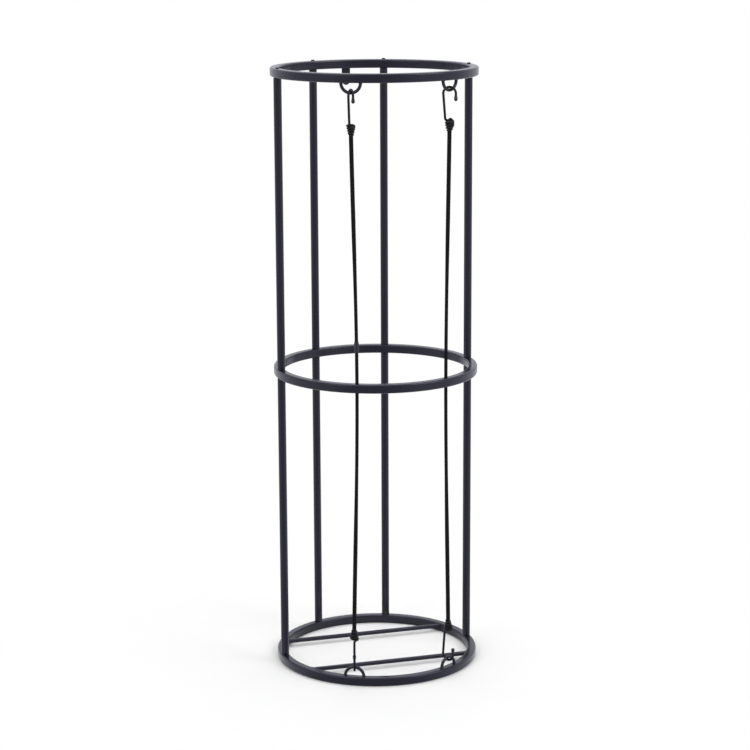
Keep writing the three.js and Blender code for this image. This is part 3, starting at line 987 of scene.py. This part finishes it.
class RACK_OT_inner_fasteners(Operator):
    """Make the joining studs, and finish the threaded inserts in the posts' ends"""

    bl_idname = "rack.inner_fasteners"
    bl_label = "Studs and Inserts"

    def execute(self, context):
        for place in POST_PLACES:
            node = f"joining_stud_{place}"
            low, high = (corner.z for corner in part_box(node))
            outline = [(0, low)] + thread(low, high) + [(0, high)]
            add_screw(node, place, "rod", outline, PLAIN_ROUND)
        for node, cad_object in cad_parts.items():
            if node.endswith("_insert"):
                cad_object.data.materials.clear()
                cad_object.data.materials.append(turned_brass())
        return {"FINISHED"}


# Hooks and cord ends


def coil_shape():
    """Radius of the coil's first turn, to the middle of its wire, and the angle where it starts."""
    sizes = bpy.context.scene.rack_hook
    wide = sizes.coil / 2 - sizes.wire / 2
    return wide, math.pi + math.atan2(sizes.bend_radius, wide)


def hook_path(place):
    """The middle line of a hook's wire, from its tip through the arch and the leg to the coil's end."""
    sizes = bpy.context.scene.rack_hook
    arch_steps, leg_steps, bend_steps, turn_steps = 32, 24, 10, 40
    inside_tip = 0.4 * MM
    arch, bend, narrow = sizes.arch_radius, sizes.bend_radius, sizes.coil_foot / 2
    low, high = coil_heights(place)
    wide, start = coil_shape()
    path = [Vector((arch, 0, sizes.free_end - cut)) for cut in (inside_tip, sizes.tip_length)]
    path += [Vector((arch * cos, 0, arch * (1 - sin))) for cos, sin in arc(arch_steps, math.pi)]
    first = Vector((math.cos(start), math.sin(start), 0)) * wide
    heading = Vector((-math.sin(start), math.cos(start), 0))
    knee = first - heading * bend + Vector((0, 0, low - bend))
    ankle = path[-1].copy()
    path += [ankle.lerp(knee, i / leg_steps) for i in range(1, leg_steps)]
    for cos, sin in arc(bend_steps, QUARTER_TURN)[:-1]:
        path.append(first - heading * (bend * cos) + Vector((0, 0, low - bend * (1 - sin))))
    steps = round(sizes.coil_turns * turn_steps)
    for i in range(steps + 1):
        share = i / steps
        angle = start + FULL_TURN * sizes.coil_turns * share
        radius = wide + (narrow - wide) * share ** for_hook("taper", place)
        path.append(Vector((radius * math.cos(angle), radius * math.sin(angle), low + (high - low) * share)))
    return path


def dipped_tip():
    """Vinyl round the hook's free end: a drop that thins towards the arch."""
    sizes = bpy.context.scene.rack_hook
    sides, swell_steps, end_steps = 24, 8, 8
    hidden_share, rim, lip = 0.9, 0.5 * MM, 0.3 * MM
    wire, tip, film = sizes.wire / 2, sizes.tip / 2, sizes.tip_film
    end, start = sizes.free_end, sizes.free_end - sizes.tip_length
    outline = [(wire * hidden_share, start - rim), (wire + film, start - lip)]
    for i in range(1, swell_steps):
        share = i / swell_steps
        swell = (tip - wire - film) * smooth_step(share, 0, 1)
        outline.append((wire + film + swell, start + (end - tip - start) * share))
    outline += [(tip * cos, end - tip + tip * sin) for cos, sin in arc(end_steps, QUARTER_TURN)[:-1]]
    bm = turned(outline + [(0, end)], sides)
    bm.transform(Matrix.Translation((sizes.arch_radius, 0, 0)))
    return bm


class RACK_OT_hooks(Operator):
    """Make the four wire hooks and their dipped tips"""

    bl_idname = "rack.hooks"
    bl_label = "Hooks"

    def execute(self, context):
        wire = context.scene.rack_hook.wire / 2
        sides, cut_end_share = 20, 0.8
        for place in HOOK_PLACES:
            node = f"cord_hook_{place}"
            path = hook_path(place)
            bm = tube(path, [wire] * (len(path) - 1) + [wire * cut_end_share], sides)
            tip = dipped_tip()
            for shape in (bm, tip):
                shape.transform(hook_station(place))
            shared = {"slot": "wire_coat", "body": f"hook_{place}", "crease": 60}
            add_piece(f"{node}_wire", bm, hook_coat(), nodes=[node], **shared)
            add_piece(f"{node}_tip", tip, vinyl_dip(), **shared)
        return {"FINISHED"}


def braid_relief(strength=1.0):
    """Height of the braid's surface at U turns round and V millimetres along."""
    sizes = bpy.context.scene.rack_cord
    strands, step = sizes.strands, sizes.strand_length / MM
    height = sizes.strand_relief * strength
    flatness = 0.6

    def relief(u, v):
        rising = strands * u + v / step
        falling = strands * u - v / step
        crossing = abs(math.sin(math.pi * rising) * math.sin(math.pi * falling))
        return height * (crossing**flatness - 1)

    return relief


def squeezed_relief(place, first_height):
    """The same on a cord's end, which also swells out between the turns of its coil."""
    sizes = bpy.context.scene.rack_hook
    braid = braid_relief(strength=0.8)
    seam = math.atan2(START_ACROSS.y, START_ACROSS.x) - coil_shape()[1]
    low, high = coil_heights(place)
    shoulder = low - sizes.wire / 2
    swelling = 1.5 * MM

    def relief(u, v):
        height = first_height + v * MM
        turns = (height - low) / sizes.coil_pitch - u - seam / FULL_TURN
        between = math.sin(math.pi * turns) ** 2
        fade_in = smooth_step(height, shoulder, shoulder + swelling)
        fade_out = 1 - smooth_step(height, low, high)
        return braid(u, v) + sizes.bulge * between * fade_in * fade_out

    return relief


def flared_end(place):
    """Middle line and radii of a cord's flared end. The further it stands out of its coil, the further
    down it is widest."""
    sizes = bpy.context.scene.rack_hook
    crown_steps, foot_steps = 24, 60
    widest_per_stub, overlap, pole = 2.4, 0.05 * MM, 0.02 * MM
    stub = for_hook("stub", place)
    low, high = coil_heights(place)
    top = low - sizes.wire / 2 - stub
    widest = low + widest_per_stub * stub
    half = sizes.flare / 2
    foot = bpy.context.scene.rack_cord.cord_end / 2 + overlap
    crown = arc(crown_steps, QUARTER_TURN)
    heights = [widest - (widest - top) * cos for cos, _ in crown]
    radii = [max(half * sin, pole) for _, sin in crown]
    for i in range(1, foot_steps + 1):
        share = i / foot_steps
        heights.append(widest + (high - widest) * share)
        radii.append(half + (foot - half) * smooth_step(share, 0, 1))
    leans = [sizes.lean * (1 - smooth_step(height, widest, high)) for height in heights]
    return [Vector((lean, 0, height)) for lean, height in zip(leans, heights)], radii


def add_yarn(name, bm, node, **more):
    return add_piece(name, bm, braided_yarn(), "cord_black", nodes=[node], crease=80, **more)


class RACK_OT_cord_ends(Operator):
    """Make the flared cord ends inside the hooks' coils"""

    bl_idname = "rack.cord_ends"
    bl_label = "Cord Ends"

    def execute(self, context):
        sides = 64
        for place in HOOK_PLACES:
            node = f"cord_knot_{place}"
            path, radii = flared_end(place)
            bm = tube(path, radii, sides, relief=squeezed_relief(place, path[0].z))
            bm.transform(hook_station(place))
            add_yarn(f"{node}_end", bm, node, body=f"hook_{place}")
        return {"FINISHED"}


# Cords


def cord_route(side, half):
    """Middle line of half a cord: a Hermite curve that leaves the middle ring upright and ends in the
    coil of the top or bottom hook."""
    spacing = 0.55 * MM
    place = f"{half}_{side}"
    end = hook_station(place) @ Vector((0, 0, coil_heights(place)[1]))
    start = hole_place(side)
    leaving, arriving = Vector((0, 0, end.z - start.z)), end - start
    steps = round(abs(leaving.z) / spacing)
    points = []
    for i in range(steps + 1):
        t = i / steps
        points.append(
            start * (2 * t**3 - 3 * t**2 + 1)
            + leaving * (t**3 - 2 * t**2 + t)
            + end * (3 * t**2 - 2 * t**3)
            + arriving * (t**3 - t**2)
        )
    return points


def cord_radii(points):
    """Half a cord's radius at each point: it is thicker near its hook, where it's stretched less."""
    sizes = bpy.context.scene.rack_cord
    thinning = [smooth_step((point - points[-1]).length, sizes.thick_run, sizes.thin_run) for point in points]
    return [(sizes.cord_end + (sizes.cord - sizes.cord_end) * share) / 2 for share in thinning]


def hang_on_hook(piece):
    """Bakes the piece's transform into its mesh."""
    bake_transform(piece)


class RACK_OT_cords(Operator):
    """Make the two elastic cords, each in two halves that meet inside the middle ring"""

    bl_idname = "rack.cords"
    bl_label = "Elastic Cords"

    def execute(self, context):
        sides = 40
        for side in CORD_SIDES:
            node = f"elastic_cord_{side}"
            for half in ("bottom", "top"):
                points = cord_route(side, half)
                bm = tube(points, cord_radii(points), sides, relief=braid_relief())
                piece = add_yarn(f"{node}_{half}", bm, node, body=None)
                hang_on_hook(piece)
        return {"FINISHED"}


class RACK_OT_sleeve(Operator):
    """Make the sleeve crimped round the left cord"""

    bl_idname = "rack.sleeve"
    bl_label = "Cord Sleeve"

    def execute(self, context):
        sizes = context.scene.rack_cord
        nudge, lip, overlap = 0.01 * MM, 0.15 * MM, 0.2 * MM
        route = cord_route("left", "top")
        middle = RING_HEIGHTS["middle"] + RING_TUBE / 2 + sizes.sleeve_rise
        low, high = middle - sizes.sleeve_length / 2, middle + sizes.sleeve_length / 2
        points = [point for point in route if low <= point.z <= high]
        points = [points[0]] * 2 + points[1:-1] + [points[-1]] * 2
        points[0] = points[0] + (points[1] - points[2]).normalized() * nudge
        points[-1] = points[-1] + (points[-2] - points[-3]).normalized() * nudge
        neck = sizes.cord / 2 + lip
        radii = []
        for point in points:
            inset = max(min(point.z - low, high - point.z, sizes.sleeve_taper) / sizes.sleeve_taper, 0.0)
            radii.append(neck + (sizes.sleeve / 2 - neck) * math.sqrt(1 - (1 - inset) ** 2))
        radii[0] = radii[-1] = sizes.cord / 2 - overlap
        bm = tube(points, radii, PLAIN_ROUND)
        shared = {"slot": "sleeve_black", "body": None, "nodes": ["cord_sleeve"], "crease": 60}
        hang_on_hook(add_piece("cord_sleeve_crimp", bm, moulded_plastic(), **shared))
        return {"FINISHED"}


# Stage

LIGHT_TARGET = Vector((0, 0, 0.5))
LIGHTS = {  # place, size in metres and power in watts
    "Key": ((2.4, -2.2, 2.8), 2.4, 58),
    "Fill": ((-2.8, -1.8, 2.2), 2.2, 21),
    "Top": ((0, 0.8, 3.0), 2.8, 47),
}


def look_at(holder, place, target, roll=0.0):
    """Stands a light or the camera at the place, turned to the target."""
    holder.location = place
    facing = (target - holder.location).to_track_quat("-Z", "Y").to_matrix().to_4x4()
    holder.rotation_euler = (facing @ Matrix.Rotation(roll, 4, "Z")).to_euler()


def add_lights():
    for name, (place, size, power) in LIGHTS.items():
        data = bpy.data.lights.new(name, "AREA")
        data.shape = "SQUARE"
        data.size = size
        data.energy = power
        look_at(add_object(name, data), place, LIGHT_TARGET)


def add_world():
    """Plain light from all round, seen as white."""
    world = bpy.data.worlds.new("Studio")
    bpy.context.scene.world = world
    world.use_nodes = True
    tree = world.node_tree
    lit = tree.nodes["Background"]
    set_inputs(lit, {"Color": (1, 1, 1, 1), "Strength": 0.5})
    direction = add_node(tree, "ShaderNodeTexCoord")["Generated"]
    light, camera, mirrored = plain_white(tree, "ShaderNodeBackground", direction)
    mask = calculate(tree, "MAXIMUM", camera, mirrored)
    blend_shaders(tree, mask, lit.outputs[0], light, "World Output")


def add_camera():
    stage = bpy.context.scene.rack_stage
    data = bpy.data.cameras.new("Camera")
    data.sensor_width = 36
    data.lens = stage.focal
    left = -Vector((math.cos(stage.azimuth), math.sin(stage.azimuth), 0))
    aim = left * stage.aim_left + Vector((0, 0, stage.aim_height))
    camera = add_object("Camera", data)
    look_at(camera, around(stage.distance, stage.azimuth, stage.height), aim, stage.roll)
    bpy.context.scene.camera = camera


class RACK_OT_stage(Operator):
    """Make the floor, the lights and the camera"""

    bl_idname = "rack.stage"
    bl_label = "Stage"

    def execute(self, context):
        sides, radius = 64, context.scene.rack_stage.floor_radius
        bm = bmesh.new()
        bmesh.ops.create_circle(bm, cap_ends=True, segments=sides, radius=radius)
        floor = add_mesh("floor", bm)
        floor.data.materials.append(pale_floor())
        add_world()
        add_lights()
        add_camera()
        context.scene.view_settings.view_transform = "Standard"
        return {"FINISHED"}


class RACK_PT_panel(Panel):
    """Lists the pieces of the rack"""

    bl_label = "Ball Rack"
    bl_idname = "RACK_PT_panel"
    bl_space_type = "VIEW_3D"
    bl_region_type = "UI"
    bl_category = "Ball Rack"

    def draw(self, context):
        for operator in OPERATORS:
            self.layout.operator(operator.bl_idname)


OPERATORS = (
    RACK_OT_rings,
    RACK_OT_posts,
    RACK_OT_rods,
    RACK_OT_wall_tab,
    RACK_OT_loops,
    RACK_OT_top_screws,
    RACK_OT_bottom_screws,
    RACK_OT_inner_fasteners,
    RACK_OT_hooks,
    RACK_OT_cord_ends,
    RACK_OT_cords,
    RACK_OT_sleeve,
    RACK_OT_stage,
)
GROUPS = {
    "rack_frame": RackFrameSizes,
    "rack_screws": RackScrewSizes,
    "rack_hook": RackHookSizes,
    "rack_cord": RackCordSizes,
    "rack_colours": RackColours,
    "rack_stage": RackStage,
}
CLASSES = (*GROUPS.values(), *OPERATORS, RACK_PT_panel)


def register():
    for item in CLASSES:
        bpy.utils.register_class(item)
    for name, group in GROUPS.items():
        setattr(bpy.types.Scene, name, PointerProperty(type=group))


def unregister():
    for name in GROUPS:
        delattr(bpy.types.Scene, name)
    for item in reversed(CLASSES):
        bpy.utils.unregister_class(item)


def main():
    register()
    bpy.ops.rack.rings()
    bpy.ops.rack.posts()
    bpy.ops.rack.rods()
    bpy.ops.rack.wall_tab()
    bpy.ops.rack.loops()
    bpy.ops.rack.top_screws()
    bpy.ops.rack.bottom_screws()
    bpy.ops.rack.inner_fasteners()
    bpy.ops.rack.hooks()
    bpy.ops.rack.cord_ends()
    bpy.ops.rack.cords()
    bpy.ops.rack.sleeve()
    bpy.ops.rack.stage()


if __name__ == "__main__":
    main()
